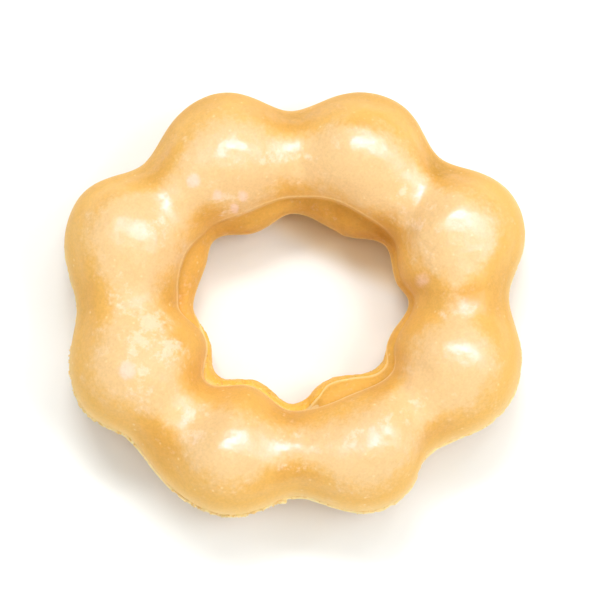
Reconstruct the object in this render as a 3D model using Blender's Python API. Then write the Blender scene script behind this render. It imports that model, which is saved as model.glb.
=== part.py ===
"""Mochi doughnut: eight balls of soft dough, fried as one ring that is uneven and wider than it is deep.

The ring is one solid. A torus is reshaped by two functions: ring_values gives the sizes of the dough at
one place round the ring, and section_point gives the outline of the dough where it is cut there.
"""

import math

import bpy

NAME = "mochi_doughnut"
MM = 0.001

# The balls and the necks between them in turn, anticlockwise from the right. Each row holds the angle of
# its outer edge (degrees), the reach of that edge from the middle (mm), the angle and the reach of its
# edge on the hole, the depth of the ledge that the dough forms there (mm), how far round the ring the top
# of the ball or the dip of the neck lies from the row's own place (rows), and how much higher than usual
# it is (mm).
RING = (
    (23.5, 47.9, 16.1, 20.2, 0.8, 0.38, 0.0),
    (46.4, 40.5, 33.0, 21.3, 1.5, 0.0, -0.5),
    (65.4, 44.6, 59.8, 16.8, 4.4, 0.22, 0.0),
    (91.4, 38.3, 92.0, 18.4, 2.3, -0.07, -0.6),
    (113.8, 44.6, 115.5, 16.6, 3.3, 0.0, 0.0),
    (136.5, 40.7, 141.6, 20.7, 1.7, 0.15, 0.8),
    (157.5, 47.8, 158.8, 19.4, 3.8, 0.0, 0.0),
    (181.2, 43.1, 179.8, 20.1, 2.6, 0.0, 0.0),
    (202.6, 46.7, 200.1, 18.0, 0.8, 0.0, 0.0),
    (220.0, 41.8, 220.4, 20.3, 2.6, 0.3, -0.8),
    (246.1, 44.0, 243.4, 16.2, 1.8, 0.0, 0.0),
    (270.6, 37.8, 268.1, 18.9, 1.7, -0.2, 0.8),
    (295.4, 43.5, 294.3, 15.5, 4.9, 0.4, 0.0),
    (311.9, 39.3, 327.1, 19.9, 2.8, 0.0, -0.3),
    (339.3, 46.2, 339.4, 19.2, 1.4, 0.1, 0.0),
    (361.9, 41.9, 362.6, 22.1, 0.9, -0.2, 1.0),
)
BALL = 0
NECK = 1
FULL_TURN = 360.0

# Heights in millimetres, each for a ball and for a neck. A ball reaches a little below the table, where it
# is pressed flat, and a neck stays clear of it.
CREST = (27.0, 23.4)
UNDERSIDE = (-0.7, 2.4)
# A wider stretch of dough also stands higher.
USUAL_WIDTH = (28.0, 20.2)
RISE_PER_WIDTH = 0.25

# How round the shape is between a ball and a neck: 0 is a plain wave, and more makes the balls fuller.
OUTLINE_FULLNESS = 0.22
HEIGHT_FULLNESS = 0.15

# The waist is where the dough floated in the oil. A low pale lip runs round the outside there, between the
# dome and the underside, and stands out most on the side toward -Y. It rises and falls a little.
WAIST_HEIGHT = 13.4
WAIST_WAVER = 0.6
# The waves of that rise and fall: how many go round, where each starts (radians), and its share.
WAIST_WAVES = ((3, 0.6, 0.625), (5, 2.1, 0.375))
LIP_DROP = 3.0
LIP_HALF_HEIGHT = 1.2
LIP_REACH = 0.4
LIP_REACH_SWING = 0.2
LIP_ROOT_DEPTH = 0.15
# How far the dome turns in again below its widest place, outside and over the hole (degrees).
OUTER_TUCK = 8.0
HOLE_TUCK = 11.0

# The hole's wall: the dome ends in a crease, and a roll of dough stands out below it.
CREASE_HEIGHT = 9.4
CREASE_RISE_PER_LEDGE = 1.1
CREASE_DEPTH = 0.35
ROLL_HEIGHT = 7.4

# The strip along the middle of the dough on which each ball rests.
FOOT_WIDTH = 2.4

# The mesh: steps from one row of the table to the next, and steps along each stretch of the section.
STEPS_PER_ROW = 8
SPANS = (
    ("outer_dome", 10),
    ("hole_dome", 11),
    ("roll", 7),
    ("hole_underside", 6),
    ("foot", 2),
    ("outer_underside", 6),
    ("lip", 4),
)
RING_STEPS = STEPS_PER_ROW * len(RING)
SECTION_STEPS = sum(steps for span, steps in SPANS)

# The torus before it is reshaped.
TORUS_RADIUS = 32.0 * MM
TORUS_THICKNESS = 13.0 * MM

DOUGH_COLOUR = (0.90, 0.56, 0.21, 1.0)
DOUGH_ROUGHNESS = 0.35


def ball_share(step, fullness):
    """1 at a ball (step 0) and 0 at a neck (step 1), and level at both."""
    wave = (1 + math.cos(math.pi * step)) / 2
    return wave + fullness * (1 - math.cos(2 * math.pi * step)) / 4


def between(neck_value, ball_value, share):
    return neck_value + (ball_value - neck_value) * share


def top_height(kind, row):
    """The height of the top of this ball, or of the dip of this neck."""
    width = row[1] - row[3]
    return CREST[kind] + RISE_PER_WIDTH * (width - USUAL_WIDTH[kind]) + row[6]


def crest_height(place):
    """The height of the crest at this place round the ring, counted in rows."""
    for row in range(-1, len(RING)):
        here = RING[row % len(RING)]
        after = RING[(row + 1) % len(RING)]
        start = row + here[5]
        end = row + 1 + after[5]
        if start <= place < end:
            break
    step = (place - start) / (end - start)
    if row % 2 == BALL:
        share = ball_share(step, HEIGHT_FULLNESS)
        return between(top_height(NECK, after), top_height(BALL, here), share)
    share = ball_share(1.0 - step, HEIGHT_FULLNESS)
    return between(top_height(NECK, here), top_height(BALL, after), share)


def ring_values(turn):
    """The sizes of the dough at this share of a turn round the ring."""
    place = (turn % 1.0) * len(RING)
    row = int(place)
    step = place - row
    here = RING[row]
    after = RING[(row + 1) % len(RING)]
    full_turn = FULL_TURN if row == len(RING) - 1 else 0.0
    outer_angle = between(here[0], after[0] + full_turn, step)
    hole_angle = between(here[2], after[2] + full_turn, step)

    starts_at_ball = row % 2 == BALL
    ball, neck = (here, after) if starts_at_ball else (after, here)
    from_ball = step if starts_at_ball else 1.0 - step
    outline = ball_share(from_ball, OUTLINE_FULLNESS)
    height = ball_share(from_ball, HEIGHT_FULLNESS)

    angle = math.radians(outer_angle)
    waver = WAIST_WAVER * sum(part * math.sin(count * angle + start) for count, start, part in WAIST_WAVES)
    return {
        "outer_angle": angle,
        "hole_angle": math.radians(hole_angle),
        "outer": between(neck[1], ball[1], outline),
        "hole": between(neck[3], ball[3], outline),
        "ledge": between(neck[4], ball[4], outline),
        "crest": crest_height(place),
        "underside": between(UNDERSIDE[NECK], UNDERSIDE[BALL], height),
        "waist": WAIST_HEIGHT + waver,
        "lip": LIP_REACH - LIP_REACH_SWING * math.sin(angle),
    }


def on_ellipse(centre, radii, start, end, share):
    """The point at this share of the way along an arc of an ellipse, with its angles in degrees."""
    angle = math.radians(between(start, end, share))
    return centre[0] + radii[0] * math.cos(angle), centre[1] + radii[1] * math.sin(angle)


def section_point(size, turn):
    """Radius and height (mm) at this share of a turn round the section, from the waist up over the crest."""
    place = (turn % 1.0) * SECTION_STEPS
    for span, steps in SPANS:
        if place < steps:
            break
        place -= steps
    share = place / steps

    dome_edge = size["outer"] - size["lip"]
    crease = size["hole"] + size["ledge"]
    crest_radius = (dome_edge + crease) / 2
    foot_middle = (size["outer"] + size["hole"]) / 2
    foot_start = foot_middle - FOOT_WIDTH / 2
    foot_end = foot_middle + FOOT_WIDTH / 2

    if span == "outer_dome":
        centre = (crest_radius, size["waist"])
        radii = (dome_edge - crest_radius, size["crest"] - size["waist"])
        return on_ellipse(centre, radii, -OUTER_TUCK, 90, share)

    crease_height = CREASE_HEIGHT + CREASE_RISE_PER_LEDGE * size["ledge"]
    if span == "hole_dome":
        # The centre lies so high that the arc's tucked end meets the crease.
        tuck = math.sin(math.radians(HOLE_TUCK))
        centre = (crest_radius, (crease_height + size["crest"] * tuck) / (1 + tuck))
        radii = (crest_radius - crease, size["crest"] - centre[1])
        return on_ellipse(centre, radii, 90, 180 + HOLE_TUCK, share)
    if span == "roll":
        root = crease + CREASE_DEPTH
        radii = (root - size["hole"], crease_height - ROLL_HEIGHT)
        return on_ellipse((root, ROLL_HEIGHT), radii, 90, 180, share)
    if span == "hole_underside":
        radii = (foot_start - size["hole"], ROLL_HEIGHT - size["underside"])
        return on_ellipse((foot_start, ROLL_HEIGHT), radii, 180, 270, share)
    if span == "foot":
        return between(foot_start, foot_end, share), size["underside"]

    lip_middle = size["waist"] - LIP_DROP
    lip_bottom = lip_middle - LIP_HALF_HEIGHT
    lip_root = dome_edge - LIP_ROOT_DEPTH
    if span == "outer_underside":
        radii = (lip_root - foot_end, lip_bottom - size["underside"])
        return on_ellipse((foot_end, lip_bottom), radii, 270, 360, share)
    return on_ellipse((lip_root, lip_middle), (size["outer"] - lip_root, LIP_HALF_HEIGHT), -90, 90, share)


def dough_point(ring_turn, section_turn):
    """The point of the surface at this place, in metres."""
    size = ring_values(ring_turn)
    radius, height = section_point(size, section_turn)
    # The valleys between balls run a little askew, so the angle changes from the hole to the outer edge.
    across = (radius - size["hole"]) / (size["outer"] - size["hole"])
    angle = between(size["hole_angle"], size["outer_angle"], across)
    # What would reach below the table is pressed flat.
    height = max(height, 0.0)
    return radius * math.cos(angle) * MM, radius * math.sin(angle) * MM, height * MM


def clear_scene():
    for obj in list(bpy.data.objects):
        bpy.data.objects.remove(obj, do_unlink=True)


def make_dough_material():
    material = bpy.data.materials.new("fried_dough")
    material.use_nodes = True
    shader = material.node_tree.nodes["Principled BSDF"]
    shader.inputs["Base Color"].default_value = DOUGH_COLOUR
    shader.inputs["Roughness"].default_value = DOUGH_ROUGHNESS
    shader.inputs["Metallic"].default_value = 0.0
    material.diffuse_color = DOUGH_COLOUR
    return material


def centre_on_origin(mesh):
    """Moves the points so that the origin is under the middle of the ring, on the table."""
    for axis in (0, 1):
        values = [vertex.co[axis] for vertex in mesh.vertices]
        middle = (min(values) + max(values)) / 2
        for vertex in mesh.vertices:
            vertex.co[axis] -= middle


def make_doughnut(collection):
    bpy.ops.mesh.primitive_torus_add(
        major_segments=RING_STEPS,
        minor_segments=SECTION_STEPS,
        major_radius=TORUS_RADIUS,
        minor_radius=TORUS_THICKNESS,
    )
    doughnut = bpy.context.object
    doughnut.name = NAME
    doughnut.data.name = NAME
    for vertex in doughnut.data.vertices:
        x, y, z = vertex.co
        ring_step = round(math.atan2(y, x) / math.tau * RING_STEPS)
        section_step = round(math.atan2(z, math.hypot(x, y) - TORUS_RADIUS) / math.tau * SECTION_STEPS)
        vertex.co = dough_point(ring_step / RING_STEPS, section_step / SECTION_STEPS)
    centre_on_origin(doughnut.data)
    doughnut.data.update()
    doughnut.data.shade_smooth()
    doughnut.data.materials.append(make_dough_material())
    for holder in list(doughnut.users_collection):
        holder.objects.unlink(doughnut)
    collection.objects.link(doughnut)
    return doughnut


clear_scene()
doughnut_collection = bpy.data.collections.new(NAME)
bpy.context.scene.collection.children.link(doughnut_collection)
make_doughnut(doughnut_collection)
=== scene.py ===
import math
import random

import bmesh
import bpy
import numpy as np
from mathutils import Matrix, Vector, noise


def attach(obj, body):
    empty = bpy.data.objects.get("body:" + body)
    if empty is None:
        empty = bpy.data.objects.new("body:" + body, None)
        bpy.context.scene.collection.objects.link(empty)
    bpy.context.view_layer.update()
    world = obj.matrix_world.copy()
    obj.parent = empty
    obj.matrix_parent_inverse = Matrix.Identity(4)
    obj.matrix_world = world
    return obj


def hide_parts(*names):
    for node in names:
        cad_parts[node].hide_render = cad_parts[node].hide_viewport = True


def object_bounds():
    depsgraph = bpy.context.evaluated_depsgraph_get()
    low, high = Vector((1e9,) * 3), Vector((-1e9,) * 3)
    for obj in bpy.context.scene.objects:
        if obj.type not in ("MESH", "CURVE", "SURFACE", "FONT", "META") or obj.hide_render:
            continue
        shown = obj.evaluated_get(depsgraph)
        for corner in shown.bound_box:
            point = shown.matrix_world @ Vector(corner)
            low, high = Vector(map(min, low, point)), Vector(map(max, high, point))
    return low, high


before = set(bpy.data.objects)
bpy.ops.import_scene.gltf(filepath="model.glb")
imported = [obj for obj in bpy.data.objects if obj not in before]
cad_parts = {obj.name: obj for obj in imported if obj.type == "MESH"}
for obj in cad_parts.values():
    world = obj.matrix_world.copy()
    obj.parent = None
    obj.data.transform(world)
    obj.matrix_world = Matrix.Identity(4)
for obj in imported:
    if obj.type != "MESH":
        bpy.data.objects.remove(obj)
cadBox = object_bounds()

mm = 0.001
cadNode = "mochi_doughnut"


# the ring's shape in mm and degrees, with the same numbers as the CAD solid
ring = {
    # ball and neck in turn, anticlockwise from the right: outer angle, outer reach, hole angle, hole reach,
    # ledge over the hole, how far round the ring its top or dip lies from there (rows), how much higher it is
    "rows": (
        (23.5, 47.9, 16.1, 20.2, 0.8, 0.38, 0.0),
        (46.4, 40.5, 33.0, 21.3, 1.5, 0.0, -0.5),
        (65.4, 44.6, 59.8, 16.8, 4.4, 0.22, 0.0),
        (91.4, 38.3, 92.0, 18.4, 2.3, -0.07, -0.6),
        (113.8, 44.6, 115.5, 16.6, 3.3, 0.0, 0.0),
        (136.5, 40.7, 141.6, 20.7, 1.7, 0.15, 0.8),
        (157.5, 47.8, 158.8, 19.4, 3.8, 0.0, 0.0),
        (181.2, 43.1, 179.8, 20.1, 2.6, 0.0, 0.0),
        (202.6, 46.7, 200.1, 18.0, 0.8, 0.0, 0.0),
        (220.0, 41.8, 220.4, 20.3, 2.6, 0.3, -0.8),
        (246.1, 44.0, 243.4, 16.2, 1.8, 0.0, 0.0),
        (270.6, 37.8, 268.1, 18.9, 1.7, -0.2, 0.8),
        (295.4, 43.5, 294.3, 15.5, 4.9, 0.4, 0.0),
        (311.9, 39.3, 327.1, 19.9, 2.8, 0.0, -0.3),
        (339.3, 46.2, 339.4, 19.2, 1.4, 0.1, 0.0),
        (361.9, 41.9, 362.6, 22.1, 0.9, -0.2, 1.0),
    ),
    "middle": (-0.234, 0.2429),  # of the uncentred ring's box
    "crest": (27.0, 23.4),       # height over a ball, over a neck
    "underside": (-0.7, 2.4),    # lowest side of a ball, of a neck; the table flattens what is below 0
    "usualWidth": (28.0, 20.2),  # of a ball, of a neck
    "risePerWidth": 0.25,        # how much higher a wider one is
    "outlineFullness": 0.22,     # 0 is a plain wave; more fills out the balls and sharpens the notches
    "heightFullness": 0.15,
    "waistHeight": 13.4,         # of the dome's widest place
    "waistWaver": 0.6,
    "waistWaves": ((3, 0.6, 0.625), (5, 2.1, 0.375)),    # how many round the ring, start, share
    "lipDrop": 3.0,              # of the crumbly lip's middle below the waist
    "lipHalfHeight": 1.2,
    "lipReach": 0.4,             # out beyond the dome
    "lipReachSwing": 0.2,        # more in front, less at the back
    "lipRootDepth": 0.15,
    "outerTuck": 8.0,            # degrees that the dome curls in below its widest place
    "holeTuck": 11.0,
    "creaseHeight": 9.4,         # of the crease between the dome and the roll over the hole
    "creaseRisePerLedge": 1.1,
    "creaseDepth": 0.35,
    "rollHeight": 7.4,           # of the roll's innermost place
    "footWidth": 2.4,            # of the flat stretch that it rests on
}

rowTable = np.array(ring["rows"])
rowCount = len(rowTable)


def mix(low, high, share):
    return low + (high - low) * share


def smooth(low, high, value):
    share = np.clip((value - low) / (high - low), 0, 1)
    return share * share * (3 - 2 * share)


def between(start, full, fullEnd, end, value):
    # 1 from full to fullEnd, 0 before start and after end
    return smooth(start, full, value) * smooth(end, fullEnd, value)


def bell(value, middle, width):
    return np.exp(-((value - middle) / width) ** 2)


def ballShare(step, fullness):
    # 1 on a ball, at step 0, and 0 on a neck, at step 1
    wave = (1 + np.cos(np.pi * step)) / 2
    return wave + fullness * (1 - np.cos(2 * np.pi * step)) / 4


def perRow(turn, values):
    # values given for the 16 balls and necks, blended round the ring
    values = np.asarray(values, float)
    place = (turn % 1.0) * rowCount
    row = np.floor(place).astype(int) % rowCount
    share = 1 - ballShare(place - np.floor(place), 0.0)
    return mix(values[row], values[(row + 1) % rowCount], share)


def crestAt(place):
    # the crest's height between the tops and dips before and after each place, which is counted in rows
    number = np.arange(-1, rowCount + 2)
    kind = number % 2
    own = rowTable[number % rowCount]
    spare = own[:, 1] - own[:, 3] - np.array(ring["usualWidth"])[kind]
    heights = np.array(ring["crest"])[kind] + ring["risePerWidth"] * spare + own[:, 6]
    places = number + own[:, 5]
    left = np.searchsorted(places, place, side="right") - 1
    step = (place - places[left]) / (places[left + 1] - places[left])
    fromBall = np.where(kind[left] == 0, step, 1 - step)
    ball = np.where(kind[left] == 0, heights[left], heights[left + 1])
    neck = np.where(kind[left] == 0, heights[left + 1], heights[left])
    return mix(neck, ball, ballShare(fromBall, ring["heightFullness"]))


def ringSizes(turn):
    # the cut dough's sizes at each turn round the ring, 0 to 1
    place = (turn % 1.0) * rowCount
    row = np.floor(place).astype(int) % rowCount
    step = place - np.floor(place)
    here, after = rowTable[row], rowTable[(row + 1) % rowCount]
    wrap = np.where(row == rowCount - 1, 360.0, 0.0)
    startsAtBall = row % 2 == 0
    ball = np.where(startsAtBall[:, None], here, after)
    neck = np.where(startsAtBall[:, None], after, here)
    fromBall = np.where(startsAtBall, step, 1 - step)
    outline = ballShare(fromBall, ring["outlineFullness"])
    rise = ballShare(fromBall, ring["heightFullness"])
    angle = np.radians(mix(here[:, 0], after[:, 0] + wrap, step))
    waver = sum(part * np.sin(count * angle + start) for count, start, part in ring["waistWaves"])
    sizes = {
        "outerAngle": angle,
        "holeAngle": np.radians(mix(here[:, 2], after[:, 2] + wrap, step)),
        "outer": mix(neck[:, 1], ball[:, 1], outline),
        "hole": mix(neck[:, 3], ball[:, 3], outline),
        "ledge": mix(neck[:, 4], ball[:, 4], outline),
        "crest": crestAt(place),
        "underside": mix(ring["underside"][1], ring["underside"][0], rise),
        "waist": ring["waistHeight"] + ring["waistWaver"] * waver,
        "lip": ring["lipReach"] - ring["lipReachSwing"] * np.sin(angle),
    }
    # the dome's outer edge, and its edge over the hole
    sizes["domeEdge"] = sizes["outer"] - sizes["lip"]
    sizes["crease"] = sizes["hole"] + sizes["ledge"]
    return {name: values[:, None] for name, values in sizes.items()}


def sectionPoints(size, place):
    # place runs round the cut dough: 0-1 outer dome, 1-2 hole dome, 2-3 roll over the hole,
    # 3-4 hole underside, 4-5 foot, 5-6 outer underside, 6-7 waist lip
    place = place % 7.0
    span = np.floor(place)
    share = place - span
    domeEdge, crease = size["domeEdge"], size["crease"]
    crestRadius = (domeEdge + crease) / 2
    footMiddle = (size["outer"] + size["hole"]) / 2
    footStart = footMiddle - ring["footWidth"] / 2
    footEnd = footMiddle + ring["footWidth"] / 2
    creaseHeight = ring["creaseHeight"] + ring["creaseRisePerLedge"] * size["ledge"]
    tuck = math.sin(math.radians(ring["holeTuck"]))
    domeMiddle = (creaseHeight + size["crest"] * tuck) / (1 + tuck)
    root = crease + ring["creaseDepth"]
    rollHeight = ring["rollHeight"]
    lipMiddle = size["waist"] - ring["lipDrop"]
    lipBottom = lipMiddle - ring["lipHalfHeight"]
    lipRoot = domeEdge - ring["lipRootDepth"]
    # span number, middle, half sizes, start and end of each arc
    arcs = (
        (0, crestRadius, size["waist"], domeEdge - crestRadius, size["crest"] - size["waist"],
         -ring["outerTuck"], 90),
        (1, crestRadius, domeMiddle, crestRadius - crease, size["crest"] - domeMiddle,
         90, 180 + ring["holeTuck"]),
        (2, root, rollHeight, root - size["hole"], creaseHeight - rollHeight, 90, 180),
        (3, footStart, rollHeight, footStart - size["hole"], rollHeight - size["underside"], 180, 270),
        (5, footEnd, lipBottom, lipRoot - footEnd, lipBottom - size["underside"], 270, 360),
        (6, lipRoot, lipMiddle, size["outer"] - lipRoot, ring["lipHalfHeight"], -90, 90),
    )
    # the foot is straight
    radius = mix(footStart, footEnd, share)
    height = size["underside"] + 0 * place
    for number, across, up, halfWide, halfTall, start, end in arcs:
        angle = np.radians(mix(start, end, share))
        radius = np.where(span == number, across + halfWide * np.cos(angle), radius)
        height = np.where(span == number, up + halfTall * np.sin(angle), height)
    return radius, height


def ringPoints(size, place):
    # points in metres, (steps round the ring, steps round the section, 3)
    radius, height = sectionPoints(size, place)
    across = (radius - size["hole"]) / (size["outer"] - size["hole"])
    angle = mix(size["holeAngle"], size["outerAngle"], across)
    x = radius * np.cos(angle) - ring["middle"][0]
    y = radius * np.sin(angle) - ring["middle"][1]
    return np.stack([x, y, np.maximum(height, 0.0)], axis=-1) * mm


def gridNormals(points, closed=False):
    # outward normals of a grid that is closed round the ring
    along = np.roll(points, -1, axis=0) - np.roll(points, 1, axis=0)
    if closed:
        across = np.roll(points, -1, axis=1) - np.roll(points, 1, axis=1)
    else:
        across = np.gradient(points, axis=1)
    normal = np.cross(along, across)
    return normal / np.maximum(np.linalg.norm(normal, axis=-1, keepdims=True), 1e-15)


# where the roll, the hole's underside, the foot, the outer underside and the lip start, as places
creasePlace = 2.0
undersidePlace = 3.0
footPlace = 4.0
outerPlace = 5.0
lipPlace = 6.0


# walking along the section, from the waist over the dome and down the roll: places to mm and back
def placesOn(stretches):
    # places from each stretch's start, end and number of steps
    return np.concatenate([np.linspace(start, end, steps, endpoint=False) for start, end, steps in stretches])


denseSteps = ((0, 1, 160), (1, creasePlace, 160), (creasePlace, undersidePlace, 60))
densePlaces = np.append(placesOn(denseSteps), undersidePlace)


def sectionLengths(size):
    # how far along the section each of densePlaces is
    points = ringPoints(size, densePlaces[None, :]) / mm
    steps = np.linalg.norm(np.diff(points, axis=1), axis=-1)
    return np.concatenate([np.zeros((len(points), 1)), np.cumsum(steps, axis=1)], axis=1)


def lengthAt(lengths, place):
    return np.array([np.interp(place[i, 0], densePlaces, lengths[i]) for i in range(len(lengths))])[:, None]


def placeAt(lengths, wanted):
    return np.array([np.interp(wanted[i], lengths[i], densePlaces) for i in range(len(lengths))])


# uneven surfaces
def hills(points, size, seed):
    # smooth random values, about -1 to 1, with hills this many mm across
    shift = Vector((seed * 3.1, seed * 1.7, -seed * 2.3))
    flat = (points.reshape(-1, 3) / (size * mm)).tolist()
    values = [noise.noise(Vector(point) + shift) for point in flat]
    return np.array(values).reshape(points.shape[:-1]) * 1.6      # the noise alone reaches about 0.6


def hillLayers(points, layers, firstSeed):
    # hills of several sizes, each layer with its height
    return sum(height * hills(points, size, firstSeed + index) for index, (size, height) in enumerate(layers))


def ringNoise(turn, closeness, seed):
    # smooth random values that meet where the ring closes
    angles = (turn * math.tau).tolist()
    spots = [Vector((math.cos(angle) * closeness, math.sin(angle) * closeness, seed)) for angle in angles]
    return np.array([noise.noise(spot) for spot in spots])


def gridMesh(name, points, material):
    # a skin over the grid, closed round the ring and round the section
    rings, across = points.shape[:2]
    number = np.arange(rings * across).reshape(rings, across)
    nextRing = np.roll(number, -1, axis=0)
    faces = np.stack([number, nextRing, np.roll(nextRing, -1, axis=1), np.roll(number, -1, axis=1)], axis=-1)
    mesh = bpy.data.meshes.new(name)
    mesh.from_pydata(points.reshape(-1, 3).tolist(), [], faces.reshape(-1, 4).tolist())
    return meshPiece(name, mesh, material)


def addObject(name, data):
    made = bpy.data.objects.new(name, data)
    bpy.context.scene.collection.objects.link(made)
    return made


def meshPiece(name, mesh, material):
    mesh.shade_smooth()
    mesh.materials.append(material)
    return addObject(name, mesh)


def paint(piece, name, values):
    layer = piece.data.attributes.new(name=name, type="FLOAT", domain="POINT")
    layer.data.foreach_set("value", np.ascontiguousarray(values, dtype=np.float32).ravel())


def register(piece):
    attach(piece, "root")
    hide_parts(cadNode)


# short ways to build materials
def srgb(red, green, blue):
    # 0-255 display values to the linear ones the shader takes
    def linear(value):
        value /= 255
        return value / 12.92 if value <= 0.04045 else ((value + 0.055) / 1.055) ** 2.4
    return (linear(red), linear(green), linear(blue), 1.0)


def setInputs(tree, node, inputs):
    # each is a constant or another node's output
    for name, value in inputs.items():
        if isinstance(value, bpy.types.NodeSocket):
            tree.links.new(value, node.inputs[name])
        else:
            node.inputs[name].default_value = value


def startMaterial(name, settings):
    # settings are constants on the shader's own sockets
    material = bpy.data.materials.new(name)
    material.use_nodes = True
    tree = material.node_tree
    tree.nodes.clear()
    output = tree.nodes.new("ShaderNodeOutputMaterial")
    shader = tree.nodes.new("ShaderNodeBsdfPrincipled")
    tree.links.new(shader.outputs["BSDF"], output.inputs["Surface"])
    setInputs(tree, shader, settings)
    return material, tree, shader


def addNode(tree, kind, inputs=None, **settings):
    node = tree.nodes.new(kind)
    for name, value in settings.items():
        setattr(node, name, value)
    setInputs(tree, node, inputs or {})
    return node


def place3d(tree):
    return addNode(tree, "ShaderNodeTexCoord").outputs["Object"]


def attributeOf(tree, name):
    return addNode(tree, "ShaderNodeAttribute", attribute_name=name).outputs["Fac"]


def grain(tree, size, detail, roughness, seed):
    # noise whose patches are about this many mm across
    return addNode(tree, "ShaderNodeTexNoise", {
        "Vector": place3d(tree), "W": seed, "Scale": 1 / (size * mm),
        "Detail": detail, "Roughness": roughness,
    }, noise_dimensions="4D").outputs["Fac"]


def math2(tree, operation, first, second):
    return addNode(tree, "ShaderNodeMath", {0: first, 1: second}, operation=operation).outputs[0]


def plus(tree, first, second):
    return math2(tree, "ADD", first, second)


def times(tree, first, second):
    return math2(tree, "MULTIPLY", first, second)


def spread(tree, value, low, high, toLow=0.0, toHigh=1.0):
    return addNode(tree, "ShaderNodeMapRange", {
        "Value": value, "From Min": low, "From Max": high, "To Min": toLow, "To Max": toHigh,
    }, interpolation_type="SMOOTHSTEP").outputs["Result"]


def roughen(tree, value, texture, low, amount):
    # moves a value up and down by at most this amount, as noise goes from low to 1 - low
    return plus(tree, value, spread(tree, texture, low, 1 - low, -amount, amount))


def blendColours(tree, share, first, second):
    # a Mix node's colours are its inputs 6 and 7 and its output 2
    return addNode(tree, "ShaderNodeMix", {0: share, 6: first, 7: second}, data_type="RGBA").outputs[2]


def bump(tree, height, texture, under=None):
    # fine relief of this height in mm, over another's normal
    inputs = {"Strength": 1.0, "Distance": height * mm, "Height": texture}
    if under is not None:
        inputs["Normal"] = under
    return addNode(tree, "ShaderNodeBump", inputs).outputs["Normal"]


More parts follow.
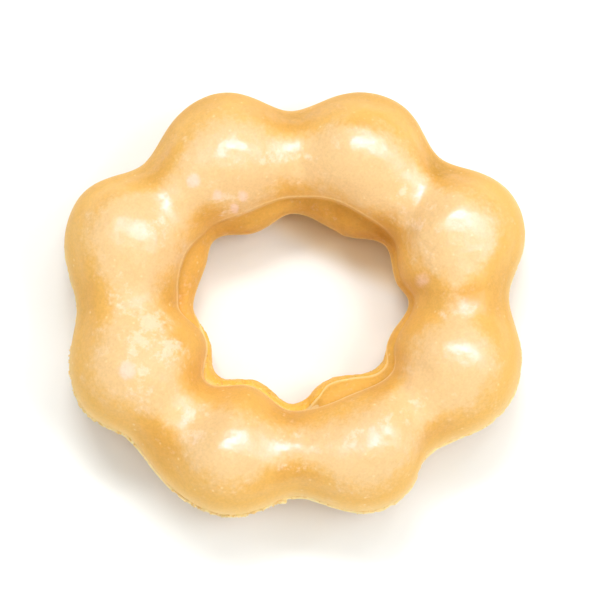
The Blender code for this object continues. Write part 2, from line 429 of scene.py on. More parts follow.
# the glaze, in mm; its perRow values run ball, neck, ball ... anticlockwise from the right, as the rows do
glaze = {
    "ringSteps": 640,
    "domeSteps": 104,
    "rollSteps": 20,
    "edgeSteps": 5,
    "underSteps": 8,
    "thickness": 0.32,
    "sink": 0.06,                # how far its surface lies inside the CAD surface
    "leastSink": 0.015,
    "topSink": 0.15,             # further on top, so that its hills stay inside too
    "topSinkLimits": (-0.03, 0.5),
    "topStart": (0.2, 2.0),      # from its edge: where the hills begin, and are full
    "flankCalm": 0.7,            # how much lower the hills are down the flanks
    "flankStart": (0.75, 0.95),  # across the dome
    "unevenness": ((9.0, 0.14), (3.4, 0.08), (1.7, 0.03)),    # size and height of the hills
    "wallHills": (1.5, 7),       # size and seed of the lumps on the wall of the hole
    "wallHillHeight": 0.10,
    "wallStart": (1.97, 2.15),   # place on the section
    "wallEdge": (0.3, 1.2),      # from the glaze's edge
    "edgeDrop": 1.15,            # how many thicknesses the round edge goes down
    "bead": 0.05,                # how much thicker it is along its edge
    "beadPlace": 0.405,          # from the edge
    "beadWidth": 0.378,
    "ridge": 0.20,               # how far the dome's rim over the hole stands out
    "ridgePlace": 1.79,          # on the section
    "ridgeWidth": 0.3,
    "ridgeLedge": (1.0, 2.4),    # ledges as deep as this show it
    "spotRise": 0.04,            # how far the spots of sugar stand out
    # how far glaze fills the crease over the roll: 0 leaves it sharp and its rim clear, 1 rounds it off
    "creaseFill": (0.7, 0.7, 0.25, 0, 0.5, 0.8, 0.2, 0.1, 0.3, 0.3, 0, 0, 0, 0.2, 0.5, 0.7),
    "sharpCrease": (1.955, 2.20),        # places where the rounding starts and ends
    "fullCrease": (1.80, 2.60),
    "creaseToEdge": 0.02,        # least way from there to the glaze's end
    "hiddenDepth": 1.6,          # how far its hidden side lies under the CAD surface
    "hiddenEdgeDepth": 0.3,      # at its edge, how far below its own thickness
    "hiddenSlope": 3.0,          # how far from the edge it is at its full depth
    "hiddenGap": 0.02,           # between the edge and the first of its points
    "outerEdge": 0.045,          # share of the outer dome, from the waist up
    "outerEdgeWaver": (0.042, 0.015),    # slow and fine
    # how far down the roll over the hole the glaze reaches, 1 is down to the hole's edge
    "holeEdge": (1, 1, 1, 1, 1, 1, 1, 1, 0.38, 0.1, 0.08, 0.1, 0.6, 0.5, 0.9, 1),
    "holeEdgeWaver": 0.05,
    "leastHoleEdge": 0.06,
    "edgeWaves": ((3.2, 4.0), (11.0, 9.0)),      # slow and fine: closeness, seed

    # cream-white sugar over the top: its edges toward the hole and the outside, -1 to 1 across the dome
    "creamHoleEdge": (-0.74, -0.86, -1.04, -0.84, -1.06, -0.80, -1.02, -0.70,
                      -0.66, -0.58, -0.56, -0.64, -0.72, -0.72, -0.72, -0.32),
    "creamOuterEdge": (0.60, 0.50, 0.36, 0.33, 0.50, 0.34, 0.62, 0.30,
                       0.68, 0.42, 0.60, 0.36, 0.66, 0.64, 0.62, 0.04),
    "creamSoftness": 5.0,        # the width over which the cream fades out
    "creamLimits": (-0.6, 1.3),
    "tintAndShadeOverCream": 0.5,       # how much of the cream the deeper tint and painted shade take away
    "domeEnd": (2.0, 1.96),      # on the section: where what lies on the dome is gone, and full
    "wallColourStart": (1.80, 2.02),
    "flankAndSheenSpan": (0.82, 1.02),   # where the outer flank begins and ends to turn pale, partly real paling toward the waist and partly a painted sheen, across the dome
    "flankAndSheenStrength": 0.8,
    "tintAndShadeOverFlank": 0.8,
    "glossEnd": (0.92, 0.6),     # across the dome: where the gloss is gone, and full
    "rimEnd": (1.0, 0.5),        # from the glaze's edge: where its pale rim fades
    "rimAndHighlightStrength": 0.9,
    "ridgeHighlight": (-0.2, 0.35),   # painted highlight on the ridge's upper side, where it catches the light: how far from it, width
    # deeper golden in the notches, partly the dough's own colour and partly painted shade, with painted shade
    # also on the north flank and the hole's north wall: row, across, size along the ring (rows), size across,
    # strength
    "tintAndShadePatches": (
        (3.04, 0.70, 0.55, 0.34, 1.25), (4.98, 0.66, 0.45, 0.34, 0.9), (6.98, 0.74, 0.50, 0.36, 0.7),
        (9.24, 0.55, 0.42, 0.50, 0.95), (10.96, 0.48, 0.45, 0.34, 0.8), (13.01, 0.68, 0.45, 0.30, 0.8),
        (14.98, 0.72, 0.50, 0.40, 0.7), (0.94, 0.72, 0.45, 0.40, 1.4),
        (3.08, -0.84, 0.35, 0.20, 0.5), (4.84, -0.80, 0.40, 0.24, 0.8), (6.88, -0.86, 0.45, 0.24, 0.7),
        (8.94, -0.84, 0.50, 0.28, 0.8), (10.90, -0.80, 0.45, 0.24, 0.8), (12.81, -0.88, 0.40, 0.24, 0.7),
        (14.99, -0.64, 0.45, 0.45, 0.4), (1.04, -0.96, 0.50, 0.28, 1.0),
        (2.3, 0.98, 1.2, 0.30, 0.9), (4.2, 0.98, 1.2, 0.30, 0.9), (5.6, 0.98, 0.8, 0.24, 0.6),
        (1.95, -1.15, 0.60, 0.22, 0.8), (2.5, -1.2, 0.5, 0.2, 0.5), (15.02, 0.06, 0.22, 0.60, 0.9),
        (7.88, -0.58, 0.30, 0.22, 0.6), (0.25, 0.52, 0.25, 0.18, 0.4), (7.03, -0.25, 0.20, 0.16, 0.6),
        (5.77, 0.53, 0.35, 0.20, 0.6), (2.19, 0.30, 0.30, 0.14, 0.6), (7.47, -0.55, 0.22, 0.16, 0.5),
    ),
    # patches where the glaze has dried white and dull, and painted highlights where it would glint, written
    # as the tint and shade patches are
    "dryAndGlint": (
        (6.95, 0.02, 0.34, 0.36, 0.55), (7.37, -0.38, 0.30, 0.24, 0.8), (7.72, -0.10, 0.36, 0.34, 0.7),
        (8.08, -0.46, 0.26, 0.22, 0.9), (8.40, 0.06, 0.42, 0.34, 0.55), (9.30, -0.20, 0.22, 0.20, 0.8),
        (9.58, 0.06, 0.30, 0.24, 0.45), (5.29, -0.18, 0.24, 0.20, 0.6), (5.84, -0.46, 0.30, 0.18, 0.5),
        (3.05, -0.20, 0.44, 0.20, 0.6), (1.25, -0.36, 0.30, 0.30, 0.6), (14.71, -0.19, 0.13, 0.18, 0.2),
        (14.80, 0.24, 0.10, 0.12, 0.35), (14.66, -0.47, 0.12, 0.16, 0.4), (10.94, -0.34, 0.26, 0.20, 0.6),
        (11.07, 0.36, 0.30, 0.18, 0.4), (12.90, -0.10, 0.36, 0.24, 0.45), (0.19, -0.40, 0.34, 0.22, 0.35),
        (0.74, -0.47, 0.25, 0.22, 0.6), (3.54, -0.34, 0.28, 0.14, 0.5), (5.58, -0.35, 0.20, 0.12, 0.6),
        (12.01, -0.33, 0.25, 0.12, 0.7), (12.48, -0.28, 0.22, 0.10, 0.8), (0.68, -0.08, 0.20, 0.14, 0.5),
        (4.45, -0.74, 0.45, 0.20, 0.5),
    ),
    # patches with less gloss or none, written as the tint and shade patches are
    "dull": (
        (7.9, -0.15, 0.75, 0.60, 1.0), (13.05, -0.05, 0.60, 0.55, 1.0), (6.95, 0.0, 0.6, 0.6, 0.85),
        (15.06, 0.08, 0.20, 0.50, 1.0), (9.14, -0.04, 0.17, 0.34, 1.0), (14.80, 0.12, 0.10, 0.25, 0.5),
        (0.05, 0.0, 0.16, 0.25, 0.5), (6.10, -0.06, 0.20, 0.26, 0.8), (3.10, 0.2, 0.20, 0.12, 0.5),
    ),
    # soft spots of dry sugar: degrees round the ring, from its middle, radius, strength
    "spots": (
        (130.7, 29.7, 1.5, 0.9), (126.7, 24.7, 1.1, 0.8), (116.6, 22.1, 1.1, 0.8), (123.0, 21.1, 0.9, 0.9),
        (203.7, 34.7, 1.9, 0.9), (8.9, 24.8, 1.6, 0.6),
    ),

    "colours": {
        "cream": srgb(233, 195, 138),
        "golden": srgb(231, 180, 93),
        # deeper golden in the notches, partly painted shade
        "tintAndShade": srgb(220, 165, 78),
        "deepTintAndShade": srgb(200, 147, 56),
        "wall": srgb(229, 177, 86),
        # the wall of the hole in painted shade
        "wallTintAndShade": srgb(213, 154, 62),
        # pale outer flank, partly a painted sheen
        "flankAndSheen": srgb(240, 202, 136),
        # the glaze's paler edge, and the painted highlight along the ridge
        "rimAndHighlight": srgb(247, 214, 150),
        # white of dried sugar, and of painted highlights
        "dryAndGlint": srgb(246, 219, 188),
        "sugar": srgb(248, 216, 202),
        "crystal": srgb(251, 228, 178),
    },
    # noise: size, detail, roughness, seed
    "patches": (2.6, 4.0, 0.6, 1.0),
    "flakes": (0.8, 3.0, 0.6, 2.0),
    "fineGrain": (0.42, 2.0, 0.5, 7.0),
    "ripples": (1.5, 3.0, 0.6, 5.0),
    "waves": (2.8, 2.0, 0.5, 8.0),
    "rippleHeight": 0.09,
    "waveHeight": 0.22,
    "pitHeight": 0.016,
    # how far the patches and the flakes break up what is painted
    "creamMottle": (0.26, 0.18),
    "tintAndShadeMottle": 0.2,
    "flankAndSheenMottle": (0.6, 1.0),
    "dryAndGlintMottle": (0.42, 0.16),
    "spotMottle": 0.12,
    "shade": (0.97, 1.03),       # darkest and lightest flakes
    "fineShade": 0.045,
    "dryAndGlintStrength": 0.65,
    "spotStrength": 0.6,
    "crystalSpacing": 1.7,
    "crystalReach": (0.04, 0.24),        # of one crystal, in spacings: where it is full, and ends
    "crystalPick": (0.5, 0.9),   # which share of them shows, none below, in full above
    "crystalStrength": 0.4,
    "roughness": (0.30, 0.38),
    "dryRoughness": 0.2,         # more on the white patches and the spots of sugar
    "flankRoughness": 0.22,      # more where it has no gloss
    "coat": 0.8,
    "dryCoatLoss": 0.6,
    "shader": {
        "IOR": 1.42,
        "Specular IOR Level": 0.2,
        "Coat Roughness": 0.32,
        "Coat IOR": 1.5,
        "Subsurface Weight": 0.25,
        "Subsurface Radius": (1.0, 0.7, 0.35),
        "Subsurface Scale": 1.6 * mm,
    },
}


def glazeEdges(turn):
    # the places on the section where the glaze starts, above the waist, and ends, on the roll
    slow, fine = (ringNoise(turn, *waves) for waves in glaze["edgeWaves"])
    slowWaver, fineWaver = glaze["outerEdgeWaver"]
    outerEdge = glaze["outerEdge"] + slowWaver * slow + fineWaver * fine
    down = perRow(turn, glaze["holeEdge"]) + glaze["holeEdgeWaver"] * fine
    holeEdge = creasePlace + np.clip(down, glaze["leastHoleEdge"], 1.0)
    return outerEdge[:, None], holeEdge[:, None]


def acrossDome(size, points):
    # -1 at the dome's edge over the hole, 0 on the crest, 1 at the outer edge
    domeEdge, crease = size["domeEdge"], size["crease"]
    x = points[..., 0] / mm + ring["middle"][0]
    y = points[..., 1] / mm + ring["middle"][1]
    return (np.hypot(x, y) - (domeEdge + crease) / 2) / ((domeEdge - crease) / 2)


def patchesAt(row, across, patches):
    values = np.zeros_like(across)
    for patchRow, patchAcross, rowSize, acrossSize, strength in patches:
        away = (row - patchRow + rowCount / 2) % rowCount - rowCount / 2
        here = bell(away, 0, rowSize) * bell(across, patchAcross, acrossSize)
        values = np.maximum(values, strength * here)
    return values


def spotsAt(points, place):
    values = np.zeros_like(place)
    for degrees, away, radius, strength in glaze["spots"]:
        x = away * math.cos(math.radians(degrees)) - points[..., 0] / mm
        y = away * math.sin(math.radians(degrees)) - points[..., 1] / mm
        here = np.exp(-(np.hypot(x, y) / radius) ** 3)
        values = np.maximum(values, strength * here * (place < creasePlace))
    return values


def glazeWalk(start, crease, end):
    # the grid's lengths along the section; both edges are quarter rounds
    thick = glaze["thickness"]
    quarter = np.linspace(0, math.pi / 2, glaze["edgeSteps"] + 1)
    rounding = thick * (1 - np.cos(quarter))[None, :]
    dome = mix(start + thick, crease, np.linspace(0, 1, glaze["domeSteps"])[None, 1:])
    roll = mix(crease, end - thick, np.linspace(0, 1, glaze["rollSteps"])[None, 1:])
    return np.concatenate([start + rounding, dome, roll, (end - rounding)[:, ::-1]], axis=1)


def fillCrease(points, size, place, fill, holeEdge):
    # the sharp crease over the roll becomes a smooth curve, a long one where glaze fills it
    filletStart = mix(glaze["sharpCrease"][0], glaze["fullCrease"][0], fill)
    filletEnd = mix(glaze["sharpCrease"][1], glaze["fullCrease"][1], fill)
    filletEnd = np.minimum(filletEnd, holeEdge - glaze["creaseToEdge"])
    share = np.clip((place - filletStart) / (filletEnd - filletStart), 0, 1)[..., None]
    first = ringPoints(size, filletStart)
    corner = ringPoints(size, np.full_like(holeEdge, creasePlace))
    last = ringPoints(size, filletEnd)
    fillet = (1 - share) ** 2 * first + 2 * share * (1 - share) * corner + share ** 2 * last
    return np.where((share > 0) & (share < 1), fillet, points)


def layGlaze():
    # the glaze's grid on the CAD surface, (steps round the ring, steps along the section)
    turn = np.arange(glaze["ringSteps"]) / glaze["ringSteps"]
    size = ringSizes(turn)
    lengths = sectionLengths(size)
    outerEdge, holeEdge = glazeEdges(turn)
    start, end = lengthAt(lengths, outerEdge), lengthAt(lengths, holeEdge)
    crease = lengthAt(lengths, np.full_like(holeEdge, creasePlace))
    ridge = lengthAt(lengths, np.full_like(holeEdge, glaze["ridgePlace"]))
    walk = glazeWalk(start, crease, end)
    place = placeAt(lengths, walk)
    fill = perRow(turn, glaze["creaseFill"])[:, None]
    points = fillCrease(ringPoints(size, place), size, place, fill, holeEdge)
    return {
        "turn": turn,
        "row": (turn * rowCount)[:, None],
        "size": size,
        "lengths": lengths,
        "start": start,
        "end": end,
        "place": place,
        "points": points,
        "across": acrossDome(size, points),
        "fromEdge": np.minimum(walk - start, end - walk),
        "fromRidge": walk - ridge,
        "ridgeShows": smooth(*glaze["ridgeLedge"], size["ledge"]) * (1 - fill),
        "spot": spotsAt(points, place),
    }


def glazeTop(grid):
    # the side that shows, moved in by its own depth under the CAD surface
    points, place, fromEdge = grid["points"], grid["place"], grid["fromEdge"]
    thick = glaze["thickness"]
    cover = np.sqrt(np.clip(1 - (1 - np.clip(fromEdge / thick, 0, 1)) ** 2, 0, 1))
    bead = glaze["bead"] * bell(fromEdge, glaze["beadPlace"], glaze["beadWidth"])
    depth = glaze["sink"] + thick * (1 - cover) * glaze["edgeDrop"] - bead
    calm = glaze["flankCalm"] * smooth(*glaze["flankStart"], np.abs(grid["across"]))
    onTop = smooth(*glaze["topStart"], fromEdge) * (1 - calm)
    uneven = hillLayers(points, glaze["unevenness"], firstSeed=1)
    depth = depth + np.clip(glaze["topSink"] - uneven, *glaze["topSinkLimits"]) * onTop
    onWall = smooth(*glaze["wallStart"], place) * smooth(*glaze["wallEdge"], fromEdge)
    depth = depth + glaze["wallHillHeight"] * (1 - hills(points, *glaze["wallHills"])) * onWall
    depth = depth - glaze["ridge"] * grid["ridgeShows"] * bell(grid["fromRidge"], 0, glaze["ridgeWidth"])
    depth = depth - glaze["spotRise"] * grid["spot"]
    return points - gridNormals(points) * np.maximum(depth, glaze["leastSink"])[..., None] * mm


def glazeUnderside(grid):
    # the hidden side, sunk in the dough; it runs back from the hole, so its normals point inward
    start, end = grid["start"] + glaze["hiddenGap"], grid["end"] - glaze["hiddenGap"]
    walk = mix(end, start, np.linspace(0, 1, glaze["underSteps"] + 2)[None, 1:-1])
    points = ringPoints(grid["size"], placeAt(grid["lengths"], walk))
    inside = smooth(0.0, glaze["hiddenSlope"], np.minimum(walk - grid["start"], grid["end"] - walk))
    edgeDepth = glaze["thickness"] + glaze["sink"] + glaze["hiddenEdgeDepth"]
    depth = mix(edgeDepth, glaze["hiddenDepth"], inside)
    return points + gridNormals(points) * depth[..., None] * mm


def paintGlaze(piece, grid):
    # what the material reads at each point; the hidden side is 0
    turn, row, size = grid["turn"], grid["row"], grid["size"]
    place, across = grid["place"], grid["across"]
    hidden = np.zeros((glaze["ringSteps"], glaze["underSteps"]))

    def paintTop(name, values):
        paint(piece, name, np.concatenate([values, hidden], axis=1))

    creamHole = perRow(turn, glaze["creamHoleEdge"])[:, None]
    creamOuter = perRow(turn, glaze["creamOuterEdge"])[:, None]
    halfWidth = (size["outer"] - size["hole"] - size["ledge"]) / 2
    inside = np.minimum(across - creamHole, creamOuter - across) * halfWidth
    cream = 0.5 + inside / glaze["creamSoftness"]
    # deeper colour in the notches, partly painted shade, and painted shade on the north flank and the hole's
    # north wall
    tintAndShade = patchesAt(row, across, glaze["tintAndShadePatches"])
    onDome = smooth(*glaze["domeEnd"], place)
    paintTop("cream", np.clip(cream - glaze["tintAndShadeOverCream"] * tintAndShade, *glaze["creamLimits"]) * onDome)
    paintTop("tintAndShade", tintAndShade)
    # dried white patches, and painted highlights
    paintTop("dryAndGlint", patchesAt(row, across, glaze["dryAndGlint"]) * onDome)
    paintTop("wall", smooth(*glaze["wallColourStart"], place))
    # the outer flank paler toward the waist, partly its own colour and partly a painted sheen
    flankAndSheen = glaze["flankAndSheenStrength"] * smooth(*glaze["flankAndSheenSpan"], across)
    paintTop("flankAndSheen", flankAndSheen * np.clip(1 - glaze["tintAndShadeOverFlank"] * tintAndShade, 0, 1))
    paintTop("spot", grid["spot"])
    dull = patchesAt(row, across, glaze["dull"])
    paintTop("gloss", smooth(*glaze["glossEnd"], np.abs(across)) * onDome * (1 - dull))
    rimAndHighlight = smooth(*glaze["rimEnd"], grid["fromEdge"])
    # a painted highlight along the ridge's upper side, joined with the glaze's paler rim
    ridgeHighlight = bell(grid["fromRidge"], *glaze["ridgeHighlight"]) * grid["ridgeShows"]
    paintTop("rimAndHighlight", glaze["rimAndHighlightStrength"] * np.maximum(rimAndHighlight, ridgeHighlight))


def crystalShare(tree):
    # a small round crystal in some of the cells
    cells = addNode(tree, "ShaderNodeTexVoronoi", {
        "Vector": place3d(tree), "Scale": 1 / (glaze["crystalSpacing"] * mm)})
    pick = addNode(tree, "ShaderNodeSeparateColor", {"Color": cells.outputs["Color"]}).outputs["Red"]
    near = spread(tree, cells.outputs["Distance"], *glaze["crystalReach"], 1.0, 0.0)
    return times(tree, near, spread(tree, pick, *glaze["crystalPick"]))


def glazeMaterial():
    material, tree, shader = startMaterial("sugarGlaze", glaze["shader"])
    colours = glaze["colours"]
    patches = grain(tree, *glaze["patches"])
    flakes = grain(tree, *glaze["flakes"])

    # golden, deeper in the notches and on the wall of the hole, partly its own colour and partly painted
    # shade, with cream-white sugar over it
    tintAndShade = roughen(tree, attributeOf(tree, "tintAndShade"), patches, 0.25, glaze["tintAndShadeMottle"])
    tintAndShadeShare = spread(tree, tintAndShade, 0.05, 1.0)
    colour = blendColours(tree, tintAndShadeShare, colours["golden"], colours["tintAndShade"])
    colour = blendColours(tree, spread(tree, tintAndShade, 0.9, 1.5), colour, colours["deepTintAndShade"])
    wall = blendColours(tree, tintAndShadeShare, colours["wall"], colours["wallTintAndShade"])
    colour = blendColours(tree, attributeOf(tree, "wall"), colour, wall)
    cream = roughen(tree, attributeOf(tree, "cream"), patches, 0.25, glaze["creamMottle"][0])
    cream = roughen(tree, cream, flakes, 0.2, glaze["creamMottle"][1])
    colour = blendColours(tree, spread(tree, cream, 0.0, 1.0), colour, colours["cream"])
    # the outer flank paler toward the waist: partly its own colour, partly a painted sheen
    flankAndSheen = times(tree, attributeOf(tree, "flankAndSheen"), spread(tree, patches, 0.2, 0.8, *glaze["flankAndSheenMottle"]))
    colour = blendColours(tree, flankAndSheen, colour, colours["flankAndSheen"])

    # white where it has dried and where highlights are painted, faint crystals, soft spots of sugar and the
    # pale rim with its painted highlight
    dryAndGlint = roughen(tree, attributeOf(tree, "dryAndGlint"), patches, 0.3, glaze["dryAndGlintMottle"][0])
    dryAndGlint = roughen(tree, dryAndGlint, flakes, 0.25, glaze["dryAndGlintMottle"][1])
    dryAndGlintShare = spread(tree, dryAndGlint, 0.3, 0.9)
    spots = roughen(tree, attributeOf(tree, "spot"), flakes, 0.2, glaze["spotMottle"])
    for name, share in (
        ("dryAndGlint", times(tree, dryAndGlintShare, glaze["dryAndGlintStrength"])),
        ("crystal", times(tree, crystalShare(tree), glaze["crystalStrength"])),
        ("sugar", spread(tree, spots, 0.1, 0.9, 0.0, glaze["spotStrength"])),
        ("rimAndHighlight", attributeOf(tree, "rimAndHighlight")),
    ):
        colour = blendColours(tree, share, colour, colours[name])
    shade = spread(tree, flakes, 0.2, 0.8, *glaze["shade"])
    shade = roughen(tree, shade, grain(tree, *glaze["fineGrain"]), 0.25, glaze["fineShade"])
    colour = addNode(tree, "ShaderNodeHueSaturation", {"Value": shade, "Color": colour}).outputs["Color"]

    # glossy on top, duller down the flanks, on the white patches and on the spots of sugar
    gloss = attributeOf(tree, "gloss")
    dull = math2(tree, "MAXIMUM", dryAndGlintShare, spread(tree, spots, 0.2, 0.8))
    rough = spread(tree, flakes, 0.3, 0.7, *glaze["roughness"])
    rough = plus(tree, rough, times(tree, dull, glaze["dryRoughness"]))
    rough = plus(tree, rough, spread(tree, gloss, 0.0, 1.0, glaze["flankRoughness"], 0.0))
    coat = times(tree, gloss, math2(tree, "SUBTRACT", 1.0, times(tree, dull, glaze["dryCoatLoss"])))

    # slow waves in the clear sugar on top, which break up what it reflects
    ripple = bump(tree, glaze["rippleHeight"], grain(tree, *glaze["ripples"]))
    waves = bump(tree, glaze["waveHeight"], grain(tree, *glaze["waves"]), ripple)
    setInputs(tree, shader, {
        "Base Color": colour,
        "Roughness": rough,
        "Normal": bump(tree, glaze["pitHeight"], flakes, ripple),
        "Coat Weight": times(tree, coat, glaze["coat"]),
        "Coat Normal": waves,
    })
    return material


def makeGlaze():
    grid = layGlaze()
    points = np.concatenate([glazeTop(grid), glazeUnderside(grid)], axis=1)
    piece = gridMesh("sugarGlaze", points, glazeMaterial())
    paintGlaze(piece, grid)
    return piece


# the fried dough under the glaze, in mm
dough = {
    "ringSteps": 900,
    # the grid's stretches of the section and their steps: few where glaze hides it, many where it shows
    "stretches": (
        (0, 0.12, 6), (0.12, 1, 7), (1, 1.85, 7), (1.85, 2, 4), (2, 3, 16), (3, 4, 20), (4, 5, 3),
        (5, 6, 24), (6, 7, 16),
    ),
    "underLength": 6.0,          # how long each stretch below counts, in telling how far off the glaze is
    "bare": 0.04,                # how far it lies under the CAD surface where it shows
    "cover": 0.36,               # under the glaze's edge
    "coverStart": (-0.5, 0.15),  # from the glaze's edge
    "coverInside": 0.85,         # and further in under the glaze
    "coverInsideStart": (0.3, 1.6),
    "leastDepth": 0.01,
    "relief": ((5.0, 0.10), (1.8, 0.07), (0.8, 0.035)),       # size and height
    "reliefSink": 0.09,
    "seamDepth": 0.35,           # folds in the underside where two balls meet
    "seamWidth": 0.12,           # rows
    "lipRaggedness": 0.34,       # how far the crumbly lip is eaten away here and there
    "bites": ((1.7, 1.2), (0.7, 0.7)),   # size and strength
    "bitesLess": 0.15,
    # places on the section where each starts, is full, starts to fade and ends
    "foot": (3.75, 4.0, 5.0, 5.3),
    "seams": (3.0, 3.5, 5.8, 6.4),
    "waistLip": (6.05, 6.35, 6.8, 7.0),
    "holeLip": (2.05, 2.3, 3.1, 3.5),

    "waistBand": (-0.3, 2.1),    # pale band round the waist: from the lip's middle, half width
    "holeBand": (3.0, 6.5),      # heights over which the wall of the hole turns pale
    "seamPale": 0.35,
    "brownBand": (7.5, 1.0),     # heights over which the underside turns brown
    "colours": {
        "fried": srgb(228, 172, 88),
        "brown": srgb(206, 142, 62),
        "pale": srgb(240, 190, 76),
        "lip": srgb(253, 232, 172),
        "crumb": srgb(251, 226, 158),
    },
    # noise: size, detail, roughness, seed
    "patches": (4.0, 4.0, 0.6, 3.0),
    "flakes": (0.8, 4.0, 0.65, 4.0),
    "specks": (0.9, 2.0, 0.6, 9.0),
    "pores": (0.3, 2.0, 0.6, 6.0),
    "crustHeight": 0.18,
    "poreHeight": 0.06,
    "brownMottle": 0.35,
    "paleMottle": 0.3,
    "crumbStrength": 0.6,
    "speckStrength": 0.55,
    "roughness": (0.45, 0.65),
    "shader": {
        "Subsurface Weight": 0.2,
        "Subsurface Radius": (1.0, 0.5, 0.2),
        "Subsurface Scale": 1.4 * mm,
    },
}


def doughMaterial():
    material, tree, shader = startMaterial("friedDough", dough["shader"])
    colours = dough["colours"]
    patches = grain(tree, *dough["patches"])
    flakes = grain(tree, *dough["flakes"])
    brown = roughen(tree, attributeOf(tree, "brown"), patches, 0.25, dough["brownMottle"])
    colour = blendColours(tree, spread(tree, brown, 0.1, 1.0), colours["fried"], colours["brown"])
    pale = roughen(tree, attributeOf(tree, "pale"), flakes, 0.2, dough["paleMottle"])
    paleShare = spread(tree, pale, 0.15, 0.85)
    paleColour = blendColours(tree, attributeOf(tree, "lip"), colours["pale"], colours["lip"])
    colour = blendColours(tree, paleShare, colour, paleColour)

    # crumbs and brown specks in the pale bands
    crumbly = times(tree, spread(tree, flakes, 0.55, 0.7), paleShare)
    colour = blendColours(tree, times(tree, crumbly, dough["crumbStrength"]), colour, colours["crumb"])
    specks = times(tree, spread(tree, grain(tree, *dough["specks"]), 0.58, 0.68), paleShare)
    colour = blendColours(tree, times(tree, specks, dough["speckStrength"]), colour, colours["brown"])
    crust = bump(tree, dough["crustHeight"], flakes)
    setInputs(tree, shader, {
        "Base Color": colour,
        "Roughness": spread(tree, flakes, 0.2, 0.8, *dough["roughness"]),
        "Normal": bump(tree, dough["poreHeight"], grain(tree, *dough["pores"]), crust),
    })
    return material


def insideGlaze(turn, size, place):
    # how far in from the glaze's edge each point is, less than 0 where the dough is bare
    lengths = sectionLengths(size)
    start, end = (lengthAt(lengths, edge) for edge in glazeEdges(turn))
    walk = np.array([np.interp(place[0], densePlaces, row) for row in lengths])
    # below, each stretch counts as equally long
    beyond = dough["underLength"] * (place - undersidePlace)
    walk = np.where(place > undersidePlace, lengths[:, -1:] + beyond, walk)
    walk = np.where(place > lipPlace, -dough["underLength"] * (lipPlace + 1 - place), walk)
    return np.minimum(walk - start, end - walk)


def doughDepth(points, place, inGlaze, seams):
    # under the CAD surface
    covered = smooth(*dough["coverStart"], inGlaze)
    offFoot = 1 - between(*dough["foot"], place)
    depth = mix(dough["bare"], dough["cover"], covered)
    depth = mix(depth, dough["coverInside"], smooth(*dough["coverInsideStart"], inGlaze))
    relief = dough["reliefSink"] - hillLayers(points, dough["relief"], firstSeed=11)
    depth = depth + relief * (1 - covered) * offFoot
    depth = depth + dough["seamDepth"] * seams * offFoot
    ragged = np.clip(hillLayers(points, dough["bites"], firstSeed=21) - dough["bitesLess"], 0, 1)
    lips = np.maximum(between(*dough["waistLip"], place), between(*dough["holeLip"], place) * (1 - covered))
    depth = depth + dough["lipRaggedness"] * ragged * lips
    return np.maximum(depth, np.where(offFoot < 0.5, 0.0, dough["leastDepth"]))


def makeDough():
    turn = np.arange(dough["ringSteps"]) / dough["ringSteps"]
    size = ringSizes(turn)
    place = placesOn(dough["stretches"])[None, :]
    points = ringPoints(size, place)
    row = (turn * rowCount)[:, None]
    # folds at the necks, whose rows have odd numbers
    seams = bell(row % 2, 1, dough["seamWidth"]) * between(*dough["seams"], place)
    depth = doughDepth(points, place, insideGlaze(turn, size, place), seams)
    moved = points - gridNormals(points, closed=True) * depth[..., None] * mm
    moved[..., 2] = np.maximum(moved[..., 2], 0.0)
    piece = gridMesh("friedDough", moved, doughMaterial())

    height = points[..., 2] / mm
    fromLip = height - (size["waist"] - ring["lipDrop"])
    waistBand = bell(fromLip, *dough["waistBand"]) * (place > outerPlace)
    holeBand = smooth(*dough["holeBand"], height) * (place >= creasePlace) * (place < footPlace)
    paint(piece, "pale", np.maximum(waistBand, holeBand) + dough["seamPale"] * seams)
    paint(piece, "lip", waistBand)
    paint(piece, "brown", smooth(*dough["brownBand"], height) * (place >= undersidePlace))
    return piece


# loose crumbs of crust along the waist, in mm
crumbs = {
    "seed": 11,
    # degrees round the ring where a stretch starts and ends, how many crumbs, the largest
    "stretches": ((190, 222, 90, 0.60), (236, 268, 80, 0.65), (286, 290, 3, 0.50)),
    "smallest": 0.35,            # share of the largest
    "across": (0.5, 0.85),       # how far up the lip they sit
    "big": (266.4, 0.5, 1.5),    # one large crumb: degrees, how far up, length
    "inward": (0.16, 0.06),      # how far they sit in the lip: share of their length, and mm
    "halfWidth": (0.3, 0.42),    # share of their length
    "halfHeight": (0.22, 0.36),
    "lumps": ((1.7, 0.38), (4.1, 0.2)),  # closeness and height
    "noiseSpan": 40,             # how far apart in the noise they are drawn
    "margin": 0.05,              # how far they stay inside the CAD box
    "colours": {
        "golden": srgb(249, 212, 126),
        "pale": srgb(255, 236, 178),
    },
    "flakes": (0.5, 3.0, 0.6, 8.0),      # noise: size, detail, roughness, seed
    "flakeHeight": 0.08,
    "roughness": (0.6, 0.8),
    "shader": {
        "Subsurface Weight": 0.3,
        "Subsurface Radius": (1.0, 0.6, 0.3),
        "Subsurface Scale": 0.6 * mm,
    },
}


def crumbMaterial():
    material, tree, shader = startMaterial("crumblyCrust", crumbs["shader"])
    flakes = grain(tree, *crumbs["flakes"])
    colours = crumbs["colours"]
    setInputs(tree, shader, {
        "Base Color": blendColours(tree, spread(tree, flakes, 0.3, 0.7), colours["golden"], colours["pale"]),
        "Roughness": spread(tree, flakes, 0.2, 0.8, *crumbs["roughness"]),
        "Normal": bump(tree, crumbs["flakeHeight"], flakes),
    })
    return material


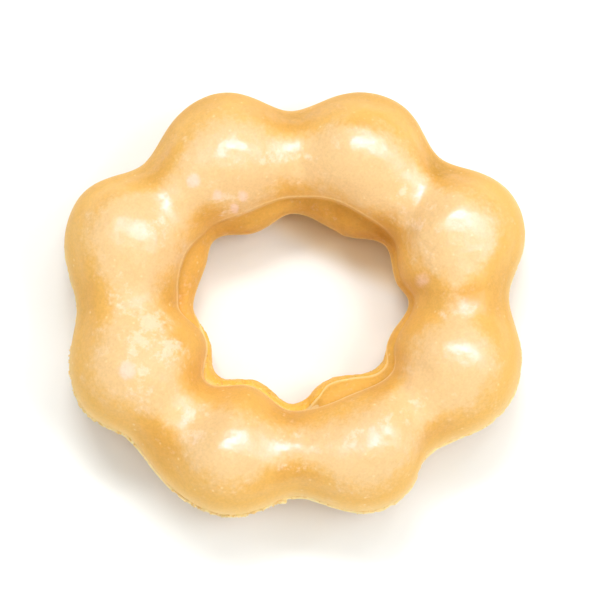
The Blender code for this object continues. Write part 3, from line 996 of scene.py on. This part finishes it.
def makeCrumbs():
    chance = random.Random(crumbs["seed"])
    build = bmesh.new()
    margin = crumbs["margin"] * mm
    low, high = np.array(cadBox[0]) + margin, np.array(cadBox[1]) - margin
    manyTurns = np.arange(3600) / 3600
    manyAngles = np.degrees(ringSizes(manyTurns)["outerAngle"][:, 0])

    def lipPoint(degrees, across, inward):
        # the rows aren't evenly spaced, so look for the turn whose outer angle is this one
        away = np.abs((manyAngles - degrees + 180) % 360 - 180)
        size = ringSizes(manyTurns[[int(np.argmin(away))]])
        radius, height = sectionPoints(size, np.array([[lipPlace + across]]))
        angle = size["outerAngle"][0, 0]
        out = radius[0, 0] - inward
        return Vector((out * math.cos(angle) - ring["middle"][0],
                       out * math.sin(angle) - ring["middle"][1], height[0, 0]))

    def addCrumb(degrees, across, long):
        middle = lipPoint(degrees, across, crumbs["inward"][0] * long + crumbs["inward"][1])
        tilted = Vector((0.3, 0.5, 1)).normalized()
        turnRound = Matrix.Rotation(chance.uniform(0, math.tau), 4, tilted)
        halfWidth = long * chance.uniform(*crumbs["halfWidth"])
        halfHeight = long * chance.uniform(*crumbs["halfHeight"])
        squash = Matrix.Diagonal((long / 2, halfWidth, halfHeight, 1))
        ball = bmesh.ops.create_icosphere(build, subdivisions=2, radius=1.0)["verts"]
        seed = Vector([chance.uniform(0, crumbs["noiseSpan"]) for _ in range(3)])
        spots = []
        for vertex in ball:
            lumps = (height * noise.noise(vertex.co * near + seed) for near, height in crumbs["lumps"])
            spots.append(((turnRound @ squash @ (vertex.co * sum(lumps, 1.0))) + middle) * mm)
        # a crumb that would leave the box is moved back in whole
        spots = np.array(spots)
        spots -= np.maximum(spots.max(axis=0) - high, 0) + np.minimum(spots.min(axis=0) - low, 0)
        for vertex, spot in zip(ball, spots):
            vertex.co = spot

    for first, last, count, largest in crumbs["stretches"]:
        for _ in range(count):
            degrees = chance.uniform(first, last)
            across = chance.uniform(*crumbs["across"])
            addCrumb(degrees, across, largest * chance.uniform(crumbs["smallest"], 1.0))
    addCrumb(*crumbs["big"])
    mesh = bpy.data.meshes.new("waistCrumbs")
    build.to_mesh(mesh)
    build.free()
    return meshPiece("waistCrumbs", mesh, crumbMaterial())


# floor and light
studio = {
    "floorSize": 4.0,
    "floorColour": (0.935, 0.962, 0.95, 1.0),
    "paintedBounceShade": (0.99, 0.89, 0.68, 1.0),    # painted shade, tinted by the dough's colour bouncing into the hole's shadow
    "paintedBounceSide": (0.45, 0.89),    # which side of the hole that is on
    "paintedBounceStart": (10.0, 15.5),   # mm from the middle toward that side: none, full
    "paintedBounceEnd": (26.0, 31.2),     # mm from the middle: full, none
    "sky": {"Color": (1.0, 0.995, 0.985, 1.0), "Strength": 0.235},
    "lampDistance": 0.95,
    # lamps: degrees from the far side round by the east, degrees from overhead, width and depth in m, watts
    "softboxes": (
        (-22, 32, 0.22, 0.14, 1.80), (2, 32, 0.22, 0.14, 2.25), (33, 32, 0.22, 0.16, 1.20),
        (68, 34, 0.18, 0.20, 1.00), (92, 35, 0.26, 0.26, 1.85), (308, 37, 0.28, 0.28, 0.80),
        (112, 58, 0.28, 0.28, 1.50), (270, 58, 0.28, 0.28, 0.70), (0, 0, 0.28, 0.28, 0.75),
        (180, 74, 0.28, 0.28, 2.60), (240, 74, 0.28, 0.28, 0.80),
    ),
    # and those that show only in the gloss
    "gleams": (
        (50.8, 17.8, 1.35, 0.46, 11.0), (41.9, 13.4, 0.66, 0.25, 11.0), (91.9, 46.0, 0.47, 0.47, 2.2),
    ),
    "gleamColour": (0.56, 0.60, 1.0),    # cool, because the sugar whitens what it reflects
    "shader": {
        "Roughness": 1.0,
        "Specular IOR Level": 0.0,
    },
}


def floorMaterial():
    material, tree, shader = startMaterial("studioFloor", studio["shader"])
    axes = addNode(tree, "ShaderNodeSeparateXYZ", {"Vector": place3d(tree)})
    east = times(tree, axes.outputs["X"], studio["paintedBounceSide"][0])
    north = times(tree, axes.outputs["Y"], studio["paintedBounceSide"][1])
    away = addNode(tree, "ShaderNodeVectorMath", {0: place3d(tree)}, operation="LENGTH").outputs["Value"]
    start, full = (distance * mm for distance in studio["paintedBounceStart"])
    fullEnd, end = (distance * mm for distance in studio["paintedBounceEnd"])
    # a painted patch of warm shade and bounced light on the floor, in the hole's shadow
    paintedBounce = spread(tree, plus(tree, east, north), start, full)
    paintedBounce = times(tree, paintedBounce, spread(tree, away, fullEnd, end, 1.0, 0.0))
    colour = blendColours(tree, paintedBounce, studio["floorColour"], studio["paintedBounceShade"])
    setInputs(tree, shader, {"Base Color": colour})
    return material


def addLamp(name, bearing, down, width, depth, watts):
    # its width runs east to west
    lamp = bpy.data.lights.new(name, "AREA")
    lamp.shape = "RECTANGLE"
    lamp.size, lamp.size_y, lamp.energy = width, depth, watts
    lampObject = addObject(name, lamp)
    bearing, down = math.radians(bearing), math.radians(down)
    toward = Vector((math.sin(down) * math.sin(bearing), math.sin(down) * math.cos(bearing), math.cos(down)))
    wide = (Vector((1, 0, 0)) - toward * toward.x).normalized()
    lampObject.location = toward * studio["lampDistance"]
    lampObject.rotation_euler = Matrix((wide, toward.cross(wide), toward)).transposed().to_euler()
    return lampObject


def makeStudio():
    bpy.ops.mesh.primitive_plane_add(size=studio["floorSize"], location=(0, 0, 0))
    floor = bpy.context.object
    floor.name = "studioFloor"
    floor.data.materials.append(floorMaterial())
    world = bpy.data.worlds.new("studioSky")
    world.use_nodes = True
    setInputs(world.node_tree, world.node_tree.nodes["Background"], studio["sky"])
    bpy.context.scene.world = world
    for number, lamp in enumerate(studio["softboxes"]):
        addLamp("softbox%d" % number, *lamp).visible_glossy = False
    for number, lamp in enumerate(studio["gleams"]):
        gleam = addLamp("gleam%d" % number, *lamp)
        gleam.visible_diffuse = False
        gleam.data.color = studio["gleamColour"]
    bpy.context.scene.view_settings.view_transform = "Standard"
    bpy.context.scene.view_settings.look = "None"


# the photo's camera
view = {
    "elevation": 85.0,          # degrees
    "distance": 0.6,            # m
    "shift": (1.05, 0.78),      # mm, right and up in the picture
    "height": 12.0,             # mm above the table, of the point that it looks at
    "lens": 184.6,
    "sensor": 36.0,
    "clipStart": 0.01,
}


def makeCamera():
    up = math.radians(view["elevation"])
    back = Vector((0, -math.cos(up), math.sin(up)))
    pictureUp = Vector((0, math.sin(up), math.cos(up)))
    aim = Vector((view["shift"][0] * mm, 0, view["height"] * mm)) + pictureUp * view["shift"][1] * mm
    data = bpy.data.cameras.new("photoCamera")
    data.lens = view["lens"]
    data.sensor_width = view["sensor"]
    data.clip_start = view["clipStart"]
    camera = addObject("photoCamera", data)
    camera.location = aim + back * view["distance"]
    camera.rotation_euler = back.to_track_quat("Z", "Y").to_euler()
    bpy.context.scene.camera = camera


makeStudio()
makeCamera()
print("studio and camera ready")
for stage, make in (("dough", makeDough), ("glaze", makeGlaze), ("crumbs", makeCrumbs)):
    piece = make()
    register(piece)
    print(stage, "ready,", len(piece.data.polygons), "faces")
